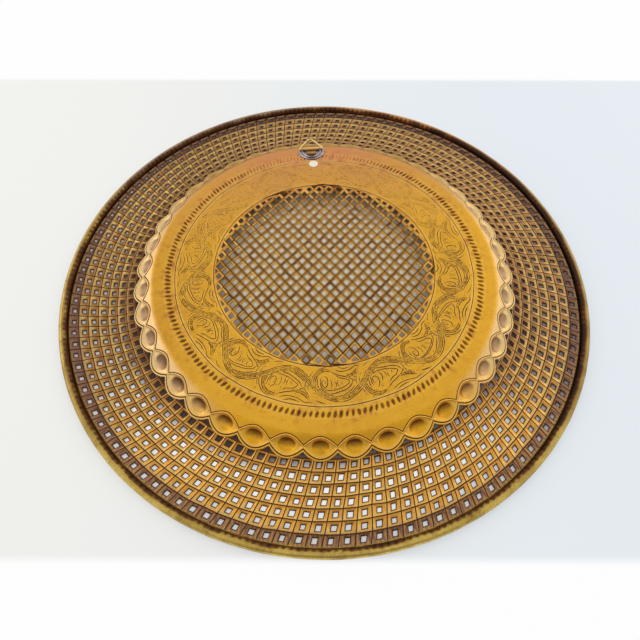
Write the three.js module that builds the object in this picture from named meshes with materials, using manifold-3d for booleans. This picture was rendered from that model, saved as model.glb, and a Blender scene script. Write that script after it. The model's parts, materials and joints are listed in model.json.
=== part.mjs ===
// Pierced brass wall tray, lying face down on its rim, millimetres, +Z up.
// The dish is one hammered sheet: a pierced centre, a flat base, a sloped band of
// pointed ovals, a pierced flange and an edge rolled over a wire. On its back is a
// soldered tab, and in the tab's fold swings a triangular hanging ring.
import * as THREE from 'three';
import { mergeGeometries, mergeVertices } from 'three/addons/utils/BufferGeometryUtils.js';
import Module from 'manifold-3d';

// Sheet and overall form
const SHEET = 1.0;
const RIM_RADIUS = 250;
const BASE_HEIGHT = 19;

// Rolled edge over its wire
const ROLL_DIAMETER = 7;
const ROLL_TURN = THREE.MathUtils.degToRad(305);
const ROLL_STEPS = 6;
const WIRE_CLEARANCE = 0.3;
const WIRE_SIDES = 6;

// Sloped band of pointed ovals round the base
const CHAIN_RUN = 15.5;
const CHAIN_DROP = 9.75;
const OVAL_PITCH = 26.7;
const OVAL_GAP = 2.6;
const OVAL_WIDTH = 15.5;
const OVAL_DEPTH = 3.0;
const OVAL_SIDES = 6;
const OVAL_WALL = 1.1;

// Pierced flange
const FLANGE_WIDTH = 65;
const FLAT_WIDTH = 25;
const FLANGE_CURVE = 1.5;
const FLANGE_HOLE = 8.5;
const FLANGE_ROW_PITCH = 15;
const FLANGE_COLUMN_PITCH = 22;
const FLANGE_MARGIN = 2.5;

// Closed band of the base, and inside it the pierced centre, its lattice set diagonally
const BAND_WIDTH = 58.5;
const GRILLE_HOLE = 7.8;
const GRILLE_PITCH_X = 20.8;
const GRILLE_PITCH_Y = 24.6;
const GRILLE_MARGIN = 1.5;
const GRILLE_TURN = THREE.MathUtils.degToRad(-5.2);

// Hanging ring, its tab, the solder and the paper dot
const RING_WIRE = 1.8;
const RING_SIDE = 27;
const RING_CORNER = 2.0;
const RING_BUTT_GAP = 0.4;
const RING_STEPS = 44;
const RING_SIDES = 8;
const TAB_SETBACK = 3.5;
const TAB_SHEET = 0.8;
const TAB_WIDTH = 19;
const TAB_LENGTH = 11.5;
const TAB_LEAF = 7.5;
const TAB_LEAF_SLOPE = THREE.MathUtils.degToRad(32);
const TAB_FOLD_STEPS = 8;
const HINGE_CLEARANCE = 0.3;
const SEAT_CLEARANCE = 0.3;
const SOLDER_SIDE = 5.0;
const SOLDER_END = 3.0;
const SOLDER_HEIGHT = 0.8;
const PLAN_STEPS = 8;
const DOT_RADIUS = 5;
const DOT_SIDES = 24;
const DOT_HEIGHT = 0.2;
const DOT_GAP = 1.4;
const DOT_OFFSET = 0.9;

const wasm = await Module();
wasm.setup();

// Solid of manifold-3d from closed three.js geometry, without the empty triangles that
// an outline's ends leave on the axis
function solid(geometry) {
  const bare = geometry.clone();
  bare.deleteAttribute('normal');
  bare.deleteAttribute('uv');
  const merged = mergeVertices(bare, 1e-4);
  const corners = merged.index.array;
  const triangles = [];
  for (let i = 0; i < corners.length; i += 3) {
    const [a, b, c] = corners.slice(i, i + 3);
    if (a !== b && b !== c && c !== a) triangles.push(a, b, c);
  }
  return new wasm.Manifold(new wasm.Mesh({
    numProp: 3,
    vertProperties: new Float32Array(merged.attributes.position.array),
    triVerts: new Uint32Array(triangles),
  }));
}

function geometryOf(manifold) {
  const mesh = manifold.getMesh();
  const geometry = new THREE.BufferGeometry();
  geometry.setAttribute('position', new THREE.BufferAttribute(new Float32Array(mesh.vertProperties), 3));
  geometry.setIndex(new THREE.BufferAttribute(new Uint32Array(mesh.triVerts), 1));
  return geometry;
}

// Line through points, moved sideways by a distance, with mitred corners
function sideLine(points, distance) {
  return points.map((point, i) => {
    const before = points[Math.max(i - 1, 0)];
    const after = points[Math.min(i + 1, points.length - 1)];
    const into = point.clone().sub(i > 0 ? before : after).multiplyScalar(i > 0 ? 1 : -1).normalize();
    const out = after.clone().sub(i < points.length - 1 ? point : before).normalize();
    const normalIn = new THREE.Vector2(-into.y, into.x);
    const normalOut = new THREE.Vector2(-out.y, out.x);
    const mitre = normalIn.clone().add(normalOut).normalize();
    return point.clone().addScaledVector(mitre, distance / mitre.dot(normalIn));
  });
}

// Body turned about Z from an outline of (radius, height), with a corner of its facets on +X
function turned(outline, facets) {
  return new THREE.LatheGeometry(outline, facets).rotateX(Math.PI / 2).rotateZ(Math.PI / 2);
}

const brass = new THREE.MeshStandardMaterial({ color: 0xb8862f, roughness: 0.38, metalness: 1 });
const wireBrass = new THREE.MeshStandardMaterial({ color: 0xc9a65a, roughness: 0.32, metalness: 1 });
const tin = new THREE.MeshStandardMaterial({ color: 0x8d8a88, roughness: 0.42, metalness: 1 });
const iron = new THREE.MeshStandardMaterial({ color: 0x5d5650, roughness: 0.55, metalness: 1 });
const paper = new THREE.MeshStandardMaterial({ color: 0xf2e6c4, roughness: 0.85, metalness: 0 });

const tray = new THREE.Group();

function add(name, geometry, material) {
  const mesh = new THREE.Mesh(geometry, material);
  mesh.name = name;
  tray.add(mesh);
  return mesh;
}

// Sizes that follow from the ones above
const rollCentreRadius = RIM_RADIUS - ROLL_DIAMETER / 2;
const rollMiddle = (ROLL_DIAMETER - SHEET) / 2;
const rollStep = ROLL_TURN / ROLL_STEPS;
const flangeOuter = RIM_RADIUS - ROLL_DIAMETER;
const flangeInner = flangeOuter - FLANGE_WIDTH;
const baseRadius = flangeInner - CHAIN_RUN;
const grilleRadius = baseRadius - BAND_WIDTH;
const flatRadius = RIM_RADIUS - FLAT_WIDTH;
const chainFoot = BASE_HEIGHT - CHAIN_DROP;
const rows = Math.max(1, Math.floor((FLANGE_WIDTH - FLANGE_MARGIN) / FLANGE_ROW_PITCH));
const rowPitch = (FLANGE_WIDTH - FLANGE_MARGIN) / rows;
const facets = 2 * Math.round((Math.PI * (flangeInner + flangeOuter)) / FLANGE_COLUMN_PITCH / 2);
const facetTurn = (2 * Math.PI) / facets;

// Height of the flange's back face, flat outside and curving up to the ovals
function flangeHeight(radius) {
  const climb = Math.max(0, (flatRadius - radius) / (flatRadius - flangeInner));
  return SHEET + (chainFoot - SHEET) * climb ** FLANGE_CURVE;
}

// Middle line of the sheet from the centre out to the end of the roll
function sheetLine() {
  const line = [
    new THREE.Vector2(0, BASE_HEIGHT - SHEET / 2),
    new THREE.Vector2(baseRadius, BASE_HEIGHT - SHEET / 2),
    new THREE.Vector2(flangeInner, chainFoot - SHEET / 2),
  ];
  for (let row = 1; row < rows; row += 1) {
    const radius = flangeInner + FLANGE_MARGIN + row * rowPitch;
    line.push(new THREE.Vector2(radius, flangeHeight(radius) - SHEET / 2));
  }
  for (let step = 0; step <= ROLL_STEPS; step += 1) {
    const angle = -Math.PI / 2 + step * rollStep;
    line.push(new THREE.Vector2(
      rollCentreRadius + rollMiddle * Math.cos(angle),
      SHEET / 2 + rollMiddle + rollMiddle * Math.sin(angle),
    ));
  }
  return line;
}

function plainDish() {
  const line = sheetLine();
  const back = sideLine(line, SHEET / 2);
  const face = sideLine(line, -SHEET / 2);
  return turned([...face, ...back.reverse()], facets);
}

// Square cutters through the flange, one in the middle of each facet of each row
function flangeCutters() {
  const cutters = [];
  for (let row = 0; row < rows; row += 1) {
    const radius = (flangeInner + FLANGE_MARGIN + (row + 0.5) * rowPitch) * Math.cos(facetTurn / 2);
    for (let column = 0; column < facets; column += 1) {
      cutters.push(new THREE.BoxGeometry(FLANGE_HOLE, FLANGE_HOLE, 2 * BASE_HEIGHT)
        .translate(radius, 0, 0)
        .rotateZ((column + 0.5) * facetTurn));
    }
  }
  return mergeGeometries(cutters);
}

// Square cutters through the centre, on a diagonal lattice inside the grille's circle
function grilleCutters() {
  const cutters = [];
  const reach = grilleRadius - GRILLE_MARGIN - GRILLE_HOLE * Math.SQRT1_2;
  const count = Math.ceil(reach / Math.min(GRILLE_PITCH_X, GRILLE_PITCH_Y)) * 2;
  for (let i = -count; i <= count; i += 1) {
    for (let j = -count; j <= count; j += 1) {
      const x = ((i + j) * GRILLE_PITCH_X) / 2;
      const y = ((i - j) * GRILLE_PITCH_Y) / 2;
      if (Math.hypot(x, y) <= reach) {
        cutters.push(new THREE.BoxGeometry(GRILLE_HOLE, GRILLE_HOLE, 2 * BASE_HEIGHT)
          .rotateZ(Math.PI / 4)
          .translate(x, y, BASE_HEIGHT));
      }
    }
  }
  return mergeGeometries(cutters).rotateZ(GRILLE_TURN);
}

// Pointed hollows along the sloped band: cones with their points in the sheet
function chainCones(length, width, depth, lift) {
  const slope = Math.atan2(CHAIN_DROP, CHAIN_RUN);
  const middle = baseRadius + CHAIN_RUN / 2;
  const grow = (depth + lift) / depth;
  const ovals = Math.round((2 * Math.PI * middle) / OVAL_PITCH);
  const cones = [];
  for (let i = 0; i < ovals; i += 1) {
    cones.push(new THREE.ConeGeometry(0.5 * grow, depth + lift, OVAL_SIDES)
      .rotateX(-Math.PI / 2)
      .translate(0, 0, (lift - depth) / 2)
      .scale(width, length, 1)
      .rotateY(slope)
      .translate(middle, 0, chainFoot + CHAIN_DROP / 2)
      .rotateZ((i * 2 * Math.PI) / ovals));
  }
  return mergeGeometries(cones);
}

function piercedDish() {
  const length = OVAL_PITCH - OVAL_GAP;
  const bosses = chainCones(length + OVAL_WALL, OVAL_WIDTH + OVAL_WALL, OVAL_DEPTH + OVAL_WALL, -SHEET / 2);
  const hollows = chainCones(length, OVAL_WIDTH, OVAL_DEPTH, SHEET);
  const dish = solid(plainDish())
    .add(solid(bosses))
    .subtract(solid(hollows))
    .subtract(solid(flangeCutters()))
    .subtract(solid(grilleCutters()));
  return geometryOf(dish);
}

// Wire inside the roll, faceted as the roll is, so the gap is even all round
function rimWire() {
  const inside = rollMiddle * Math.cos(rollStep / 2) - SHEET / 2;
  const radius = inside - WIRE_CLEARANCE;
  const outline = [];
  for (let i = 0; i < WIRE_SIDES; i += 1) {
    const angle = (i * 2 * Math.PI) / WIRE_SIDES;
    outline.push(new THREE.Vector2(
      rollCentreRadius + radius * Math.cos(angle),
      SHEET / 2 + rollMiddle + radius * Math.sin(angle),
    ));
  }
  return turned([...outline, outline[0]], facets);
}

add('pierced_dish', piercedDish(), brass);
add('rim_wire', rimWire(), iron);

// Hanger sizes that follow: the fold wraps the ring's bar, and lies on the base
const foldInner = RING_WIRE / 2 + HINGE_CLEARANCE;
const foldOuter = foldInner + TAB_SHEET;
const ringLift = foldOuter - RING_WIRE / 2 - SEAT_CLEARANCE;
const hingeRadius = baseRadius - TAB_SETBACK - foldOuter;
const ringDroop = Math.atan2(ringLift, baseRadius - hingeRadius);
const solderEnd = TAB_LENGTH + SEAT_CLEARANCE + SOLDER_END;
const dotCentreRadius = hingeRadius - solderEnd - DOT_GAP - DOT_RADIUS;

// Centre line of the ring: a triangle with rounded corners, open by the butt gap
class RingPath extends THREE.CurvePath {
  constructor() {
    super();
    const half = RING_SIDE / 2;
    const apex = half * Math.sqrt(3);
    const corners = [[half, 0], [0, apex], [-half, 0]].map(([x, y]) => new THREE.Vector3(x, y, 0));
    const cut = RING_CORNER * Math.sqrt(3);
    let from = new THREE.Vector3(RING_BUTT_GAP / 2, 0, 0);
    const end = new THREE.Vector3(-RING_BUTT_GAP / 2, 0, 0);
    corners.forEach((corner, i) => {
      const next = i < corners.length - 1 ? corners[i + 1] : end;
      const before = i > 0 ? corners[i - 1] : from;
      const entry = corner.clone().add(before.clone().sub(corner).setLength(cut));
      const exit = corner.clone().add(next.clone().sub(corner).setLength(cut));
      this.add(new THREE.LineCurve3(from, entry));
      this.add(new THREE.QuadraticBezierCurve3(entry, corner, exit));
      from = exit;
    });
    this.add(new THREE.LineCurve3(from, end));
  }
}

function hangingRing() {
  const section = new THREE.Shape();
  for (let i = 0; i < RING_SIDES; i += 1) {
    const angle = ((i + 0.5) * 2 * Math.PI) / RING_SIDES;
    const x = (RING_WIRE / 2) * Math.cos(angle);
    const y = (RING_WIRE / 2) * Math.sin(angle);
    if (i === 0) section.moveTo(x, y);
    else section.lineTo(x, y);
  }
  section.closePath();
  return new THREE.ExtrudeGeometry(section, { steps: RING_STEPS, extrudePath: new RingPath() });
}

// Points of the fold's arc, from straight below the bar round to where the leaf goes down
function foldArc(radius) {
  const turn = Math.PI + TAB_LEAF_SLOPE;
  const points = [];
  for (let i = 0; i <= TAB_FOLD_STEPS; i += 1) {
    const angle = -Math.PI / 2 + (i * turn) / TAB_FOLD_STEPS;
    points.push(new THREE.Vector2(radius * Math.cos(angle), foldOuter + radius * Math.sin(angle)));
  }
  return points;
}

// Where a line from a point, going inwards and down at the leaf's slope, reaches a height
function leafPoint(from, height) {
  return new THREE.Vector2(from.x - (from.y - height) / Math.tan(TAB_LEAF_SLOPE), height);
}

// Side view of the folded strip, (y, z) from a point on the base under the bar
function tabSection() {
  const outside = foldArc(foldOuter);
  const inside = foldArc(foldInner / Math.cos((Math.PI + TAB_LEAF_SLOPE) / TAB_FOLD_STEPS / 2));
  const shape = new THREE.Shape([
    new THREE.Vector2(-TAB_LENGTH, 0),
    ...outside,
    leafPoint(outside.at(-1), 2 * TAB_SHEET),
    new THREE.Vector2(-TAB_LEAF, 2 * TAB_SHEET),
    new THREE.Vector2(-TAB_LEAF, TAB_SHEET),
    new THREE.Vector2(-TAB_LENGTH, TAB_SHEET),
  ]);
  shape.holes.push(new THREE.Path([...inside, leafPoint(inside.at(-1), inside[0].y)]));
  return shape;
}

// Plan of the tab: straight at the fold, round at its inner end
function tabPlan(margin) {
  const half = TAB_WIDTH / 2 + margin;
  const plan = new THREE.Shape();
  plan.moveTo(half, foldOuter + margin);
  plan.lineTo(-half, foldOuter + margin);
  plan.lineTo(-half, -foldOuter);
  plan.absellipse(0, -foldOuter, half, TAB_LENGTH - foldOuter + margin, Math.PI, 2 * Math.PI, false);
  plan.closePath();
  return plan;
}

function hangerTab() {
  const strip = new THREE.ExtrudeGeometry(tabSection(), { depth: TAB_WIDTH, bevelEnabled: false })
    .translate(0, 0, -TAB_WIDTH / 2)
    .rotateX(Math.PI / 2)
    .rotateZ(Math.PI / 2);
  const height = 4 * foldOuter;
  const plan = new THREE.ExtrudeGeometry(tabPlan(0), {
    depth: height,
    bevelEnabled: false,
    curveSegments: PLAN_STEPS,
  }).translate(0, 0, -height / 4);
  return geometryOf(solid(strip).intersect(solid(plan)));
}

// Crescent of solder round the tab's inner end
function solderCrescent() {
  const half = TAB_WIDTH / 2 + SEAT_CLEARANCE + SOLDER_SIDE;
  const edge = new THREE.Shape().absellipse(0, 0, half, solderEnd, Math.PI, 2 * Math.PI, false);
  edge.closePath();
  const pool = new THREE.ExtrudeGeometry(edge, {
    depth: SOLDER_HEIGHT,
    bevelEnabled: false,
    curveSegments: PLAN_STEPS,
  });
  const tab = new THREE.ExtrudeGeometry(tabPlan(SEAT_CLEARANCE), {
    depth: 4 * SOLDER_HEIGHT,
    bevelEnabled: false,
    curveSegments: PLAN_STEPS,
  }).translate(0, 0, -SOLDER_HEIGHT);
  return geometryOf(solid(pool).subtract(solid(tab)));
}

const seat = new THREE.Vector3(0, hingeRadius, BASE_HEIGHT);
add('hanger_tab', hangerTab(), brass).position.copy(seat);
add('solder_crescent', solderCrescent(), tin).position.copy(seat);

const ring = add('hanging_ring', hangingRing(), wireBrass);
ring.position.set(0, hingeRadius, BASE_HEIGHT + foldOuter);
ring.rotation.x = -ringDroop;

const dot = add('paper_dot', new THREE.CylinderGeometry(DOT_RADIUS, DOT_RADIUS, DOT_HEIGHT, DOT_SIDES), paper);
dot.geometry.rotateX(Math.PI / 2);
dot.position.set(DOT_OFFSET, dotCentreRadius, BASE_HEIGHT + DOT_HEIGHT / 2);

export default tray;
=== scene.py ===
"""Looks of a pierced brass wall tray that lies face down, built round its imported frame, in metres."""
import json
import math
import random

import bmesh
import bpy
from mathutils import Matrix, Vector, noise


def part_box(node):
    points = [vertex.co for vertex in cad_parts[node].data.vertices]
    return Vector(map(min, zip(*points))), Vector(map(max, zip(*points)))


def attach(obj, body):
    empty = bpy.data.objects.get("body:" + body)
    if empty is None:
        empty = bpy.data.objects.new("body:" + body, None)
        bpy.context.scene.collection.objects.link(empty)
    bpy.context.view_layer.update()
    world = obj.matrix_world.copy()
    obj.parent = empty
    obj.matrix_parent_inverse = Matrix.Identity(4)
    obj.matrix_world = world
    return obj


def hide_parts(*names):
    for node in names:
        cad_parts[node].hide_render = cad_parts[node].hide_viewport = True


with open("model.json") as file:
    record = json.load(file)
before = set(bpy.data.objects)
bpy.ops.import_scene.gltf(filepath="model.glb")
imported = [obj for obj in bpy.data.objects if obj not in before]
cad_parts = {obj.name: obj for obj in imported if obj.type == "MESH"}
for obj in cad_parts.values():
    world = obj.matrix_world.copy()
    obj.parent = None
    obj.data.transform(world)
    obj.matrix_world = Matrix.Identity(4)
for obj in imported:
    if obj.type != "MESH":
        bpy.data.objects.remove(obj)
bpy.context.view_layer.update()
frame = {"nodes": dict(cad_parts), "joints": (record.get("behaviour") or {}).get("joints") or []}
dish_low, dish_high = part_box("pierced_dish")
tab_low, tab_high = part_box("hanger_tab")
solder_low, solder_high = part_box("solder_crescent")
dot_low, dot_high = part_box("paper_dot")
hinge = Vector(frame["joints"][0]["pos_m"])

MM = 0.001
TURN = 2 * math.pi

# Sheet and overall form
SHEET = 1.0 * MM
RIM_RADIUS = dish_high.x
BASE_TOP = dish_high.z
ROLL_RADIUS = 3.5 * MM
FLANGE_OUTER = RIM_RADIUS - 2 * ROLL_RADIUS
FLANGE_INNER = FLANGE_OUTER - 65 * MM
BASE_RADIUS = FLANGE_INNER - 15.5 * MM
GRILLE_RADIUS = BASE_RADIUS - 58.5 * MM
BAND_DROP = 9.75 * MM
FLAT_RADIUS = RIM_RADIUS - 25 * MM
FLANGE_CURVE = 2.2
SHOULDER_BLEND = 1.8 * MM

# The photograph's own directions are turned from the tray's, whose hanger is on +Y
PHOTO_TURN = math.radians(-5.2)
CAMERA_LENS = 27.24
CAMERA_RISE = math.radians(60.35)
CAMERA_DISTANCE = 447.3 * MM
CAMERA_AIM = Vector((-3.9, -51.0, 3.5)) * MM
CAMERA_ROLL = math.radians(0.14)


def polar(radius, angle, height):
    """Point at a radius and an angle round the tray's middle."""
    return Vector((radius * math.cos(angle), radius * math.sin(angle), height))


def smooth_step(value, low, high):
    """0 below low, 1 above high and a smooth rise between them."""
    share = min(1.0, max(0.0, (value - low) / (high - low)))
    return share * share * (3 - 2 * share)


def back_height(radius):
    """Height of the sheet's back face: flat base, sloped band, flange that flattens outwards."""
    slope = BASE_TOP - (radius - BASE_RADIUS) * BAND_DROP / (FLANGE_INNER - BASE_RADIUS)
    climb = max(0.0, (FLAT_RADIUS - radius) / (FLAT_RADIUS - FLANGE_INNER))
    foot = BASE_TOP - BAND_DROP
    flange = SHEET + (foot - SHEET) * climb ** FLANGE_CURVE
    lower = max(slope, flange)
    overlap = max(0.0, SHOULDER_BLEND - abs(BASE_TOP - lower)) / SHOULDER_BLEND
    return min(BASE_TOP, lower) - overlap * overlap * SHOULDER_BLEND / 4


def hand_wave(point, length, depth):
    """Slow unevenness of hammered sheet, nearly all of it below the drawn surface."""
    return (noise.noise(Vector(point) / length) - 0.6) * depth


# Numbers of a material, written as sums

class Value:
    """Socket of a material. Sums on it add Math nodes."""

    def __init__(self, finish, socket):
        self.finish = finish
        self.socket = socket

    def math(self, operation, *terms):
        return self.finish.node("ShaderNodeMath", {"operation": operation}, dict(enumerate(terms)))

    def __add__(self, other):
        return self.math("ADD", self, other)

    __radd__ = __add__

    def __sub__(self, other):
        return self.math("SUBTRACT", self, other)

    def __rsub__(self, other):
        return self.math("SUBTRACT", other, self)

    def __mul__(self, other):
        return self.math("MULTIPLY", self, other)

    __rmul__ = __mul__

    def __truediv__(self, other):
        return self.math("DIVIDE", self, other)

    def __rtruediv__(self, other):
        return self.math("DIVIDE", other, self)

    def __pow__(self, other):
        return self.math("POWER", self, other)

    def at_most(self, limit):
        return self.math("MINIMUM", self, limit)

    def step(self, low, high):
        """0 at low and 1 at high, with a smooth rise between them."""
        settings = {"interpolation_type": "SMOOTHSTEP"}
        return self.finish.node("ShaderNodeMapRange", settings, {0: self, 1: low, 2: high})


class Finish:
    """Node tree of one material, or of the world."""

    def __init__(self, owner):
        owner.use_nodes = True
        self.owner = owner
        self.tree = owner.node_tree

    def node(self, kind, settings=None, inputs=None, output=0):
        made = self.tree.nodes.new(kind)
        for key, value in (settings or {}).items():
            setattr(made, key, value)
        for key, value in (inputs or {}).items():
            if isinstance(value, Value):
                self.tree.links.new(value.socket, made.inputs[key])
            else:
                made.inputs[key].default_value = value
        return Value(self, made.outputs[output])

    def mix(self, share, first, second, blend="MIX"):
        """Colour between two others."""
        settings = {"data_type": "RGBA", "blend_type": blend}
        return self.node("ShaderNodeMix", settings, {0: share, 6: first, 7: second}, 2)

    def place(self):
        return self.node("ShaderNodeTexCoord", output="Object")

    def plan(self):
        """Place in the tray's plan: x, y and the distance from its middle."""
        place = self.place()
        x, y = [self.node("ShaderNodeSeparateXYZ", inputs={0: place}, output=i) for i in range(2)]
        return x, y, (x * x + y * y) ** 0.5

    def grain(self, size, detail=3.0, roughness=0.5):
        """Soft noise with features of one size."""
        inputs = {"Vector": self.place(), "Scale": 1 / size, "Detail": detail, "Roughness": roughness}
        return self.node("ShaderNodeTexNoise", inputs=inputs)

    def carried(self, name):
        """Value that the mesh carries at its corners."""
        return self.node("ShaderNodeAttribute", {"attribute_name": name}, output="Fac")

    def bump(self, height, strength, distance, below=None):
        inputs = {"Height": height, "Strength": strength, "Distance": distance}
        if below is not None:
            inputs["Normal"] = below
        return self.node("ShaderNodeBump", inputs=inputs)

    def surface(self, **inputs):
        """Feeds the material's shader, with underscores for the spaces of its socket names."""
        shader = self.tree.nodes["Principled BSDF"]
        for key, value in inputs.items():
            socket = shader.inputs[key.replace("_", " ")]
            if isinstance(value, Value):
                self.tree.links.new(value.socket, socket)
            else:
                socket.default_value = value
        return self.owner


def tint(red, green, blue):
    """Colour as it is seen on a screen, from 0 to 255, made linear."""
    return tuple((channel / 255) ** 2.2 for channel in (red, green, blue)) + (1.0,)


WHITE = tint(255, 255, 255)

# Brass of the dish, and what age has laid on it
GOLD = tint(238, 177, 50)
PALE_GOLD = tint(246, 214, 132)
OLD_GOLD = tint(200, 142, 50)
ORANGE_GOLD = tint(238, 176, 84)
ORANGE_BROWN = tint(168, 106, 46)
GRILLE_GOLD = tint(250, 190, 80)
GRILLE_BROWN = tint(186, 120, 50)
COPPER = tint(208, 144, 92)
HEAT_PINK = tint(214, 134, 104)
DARK_BROWN = tint(94, 54, 20)
BLACK_BROWN = tint(26, 14, 8)
PURPLE_BROWN = tint(100, 80, 84)
OLIVE = tint(158, 124, 78)
DULL_BROWN = tint(166, 126, 90)
LEFT_BROWN = tint(126, 92, 62)
REFLECTED_CREAM = tint(246, 214, 168)
BOWL_PINK = tint(172, 142, 116)
RED_STAIN = tint(186, 104, 56)
EDGE_OLIVE = tint(220, 188, 96)
EDGE_BROWN = tint(124, 94, 46)
EDGE_GREY = tint(156, 134, 118)
EDGE_COPPER = tint(214, 148, 94)

# Hanger, solder, paper and wire
RING_GOLD = tint(224, 200, 142)
RING_BROWN = tint(186, 154, 98)
TAB_GOLD = tint(224, 174, 104)
SOLDER_BRIGHT = tint(204, 192, 200)
SOLDER_DULL = tint(150, 134, 142)
SOLDER_DARK_BROWN = tint(84, 60, 54)
PAPER_PALE = tint(255, 249, 226)
PAPER_CREAM = tint(248, 236, 204)
PAPER_EDGE = tint(206, 180, 128)
IRON = tint(96, 90, 86)
RUST = tint(104, 66, 40)

# Room and floor
ROOM_SIDES = tint(250, 250, 248)
ROOM_TOP = tint(232, 231, 228)
ROOM_DARK = tint(96, 92, 88)
FLOOR_LEFT = tint(244, 245, 244)
FLOOR_RIGHT = tint(236, 243, 248)
FLOOR_SHADE = tint(76, 70, 66)
GLOW_LEFT = tint(253, 253, 250)
GLOW_RIGHT = tint(238, 246, 255)
# Painted light seen through the holes, under the centre and under the flange
GLOW_CENTRE_NEAR = tint(208, 192, 172)
GLOW_CENTRE_FAR = tint(238, 222, 196)
GLOW_FLANGE = tint(214, 206, 212)


class Brass(Finish):
    """Old brass: worn bright on its ridges, toned in between, and dark in its recesses from patina and
    painted shade.

    The mesh carries a tone: 0 on a worn ridge or a painted highlight, from 0.3 toned, and darkened to black
    at 1 by patina, dirt and painted shade.
    """

    def __init__(self, name, gold, toned, dirt=0.5):
        super().__init__(bpy.data.materials.new(name))
        self.x, self.y, self.radius = self.plan()
        self.tone = self.carried("tone")
        self.cloud = self.grain(38 * MM, 4.0, 0.6)
        self.mottle = self.grain(7 * MM, 5.0, 0.65)
        self.speck = self.grain(1.5 * MM, 3.0, 0.7)
        self.toned = toned
        self.dirt = dirt
        self.patina = (self.cloud.step(0.35, 0.75) * 0.55 + self.mottle.step(0.45, 0.75) * 0.5) * dirt
        self.colour = self.mix(self.patina, gold, toned)
        self.bright = 0.55
        self.stain = self.speck.step(0.58, 0.74) * self.mottle.step(0.45, 0.7) * dirt

    def lay(self, share, colour):
        """Lays a colour over a share of what is there."""
        self.colour = self.mix(share, self.colour, colour)

    def outer_row(self):
        """1 on the flange's outermost row of holes."""
        return self.radius.step(229 * MM, 235 * MM)

    def dull_away(self, share):
        """Duller away from the near side, and most on the left."""
        ragged = (self.mottle - 0.5) * 60 * MM
        near = (0 - self.y - (self.x * self.x) ** 0.5 * 0.3 + ragged).step(10 * MM, 150 * MM)
        self.lay((1 - near) * share, self.mix(self.x.step(-170 * MM, 0.0), LEFT_BROWN, DULL_BROWN))
        self.bright = (1 - self.outer_row() * 0.8) * self.bright

    def pale_shoulder(self):
        """Painted reflection of the pale room on the shoulder and the ovals at both sides, calmer on the
        right, olive on the far side.
        """
        x, y, tone = self.x, self.y, self.tone
        shoulder = self.radius.step(159.5 * MM, 166 * MM)
        beside = ((x * x) ** 0.5 / self.radius).step(0.5, 0.9) * shoulder
        right = (x / self.radius).step(0.5, 0.9) * shoulder
        left_base = (0 - x).step(90 * MM, 150 * MM) * (1 - shoulder) * (1 - y.step(30 * MM, 110 * MM) * 0.8)
        self.lay(left_base * (0.4 + self.mottle.step(0.4, 0.65) * 0.5), self.toned)
        # Painted reflection: cream on the shoulder and ovals at both sides, where their slopes face the white
        # room
        self.lay(beside * 0.8, REFLECTED_CREAM)
        self.lay(beside * tone.step(0.22, 0.42), BOWL_PINK)
        self.lay(y.step(60 * MM, 150 * MM) * shoulder * 0.9, OLIVE)
        self.tone = tone * (1 - right * 0.45)

    def lay_zones(self):
        """Copper at the base's far side, pink by the solder's heat, purple strokes on the outer row."""
        x, y = self.x, self.y
        on_base = 1 - self.radius.step(160 * MM, 172 * MM)
        self.lay(y.step(10 * MM, 165 * MM) * on_base * (0.7 + self.cloud.step(0.3, 0.7) * 0.3) * 0.9, COPPER)
        heat_x = x / (120 * MM)
        heat_y = (y - 152 * MM) / (30 * MM)
        heat = (1 - (heat_x * heat_x + heat_y * heat_y) ** 0.5).step(0.0, 0.7)
        self.lay(heat * on_base * self.mottle.step(0.3, 0.6) * 0.8, HEAT_PINK)
        strokes = x.math("SINE", x.math("ARCTAN2", y, x) * 420 + self.mottle * 12)
        self.lay(self.outer_row() * (0.75 + strokes * 0.2), PURPLE_BROWN)

    def edge_colours_by_side(self):
        """Grey to copper at the far side, and toned on the right."""
        far_edge_colour = self.mix(self.x.step(-60 * MM, 110 * MM), EDGE_GREY, EDGE_COPPER)
        self.lay(self.y.step(70 * MM, 190 * MM) * 0.85, far_edge_colour)
        self.lay(self.x.step(150 * MM, 235 * MM) * 0.6, self.toned)

    def stipple_band(self):
        """Dark specks in the scrolls' band, fainter lines at its far side, red stains by the dashes."""
        radius, y = self.radius, self.y
        band = radius.step(104 * MM, 106 * MM) * (1 - radius.step(138.5 * MM, 140 * MM))
        self.stain = self.stain + band * self.speck.step(0.44, 0.66) * 0.6
        faded = y.step(-40 * MM, 110 * MM) * band + y.step(110 * MM, 150 * MM) * (1 - band)
        self.tone = self.tone * (1 - faded * 0.4)
        by_dashes = radius.step(136 * MM, 142 * MM) * (1 - radius.step(150 * MM, 158 * MM))
        self.lay(by_dashes * self.mottle.step(0.5, 0.68) * 0.6, RED_STAIN)

    def age(self, rough=0.4, stippled=False):
        """Pales worn ridges and painted highlights, darkens the recesses with patina, dirt and painted shade,
        and gives the material.
        """
        self.lay((self.speck - 0.5).step(-0.15, 0.2) * 0.34, self.toned)
        self.lay((1 - self.tone.step(0.0, 0.2)) * self.bright, PALE_GOLD)
        if stippled:
            self.stipple_band()
        tone = self.tone
        # Dark brown from patina and dirt in the recesses, and from the painted shade that the tone carries
        soil_and_shade = (tone + self.stain * 0.4 + (self.mottle - 0.5) * 0.25).step(0.3, 0.78)
        self.lay(soil_and_shade, DARK_BROWN)
        self.lay(tone.step(0.85, 1.0) * 0.8, BLACK_BROWN)
        dents = self.bump(self.cloud, 0.3, 1.2 * MM)
        return self.surface(
            Base_Color=self.colour,
            Metallic=1 - soil_and_shade * 0.45,
            Roughness=rough + self.patina * 0.12 + soil_and_shade * 0.2 + (self.speck - 0.5) * 0.1,
            Normal=self.bump(self.mottle + self.speck * 0.6, 0.3, 0.4 * MM, dents),
        )


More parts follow.
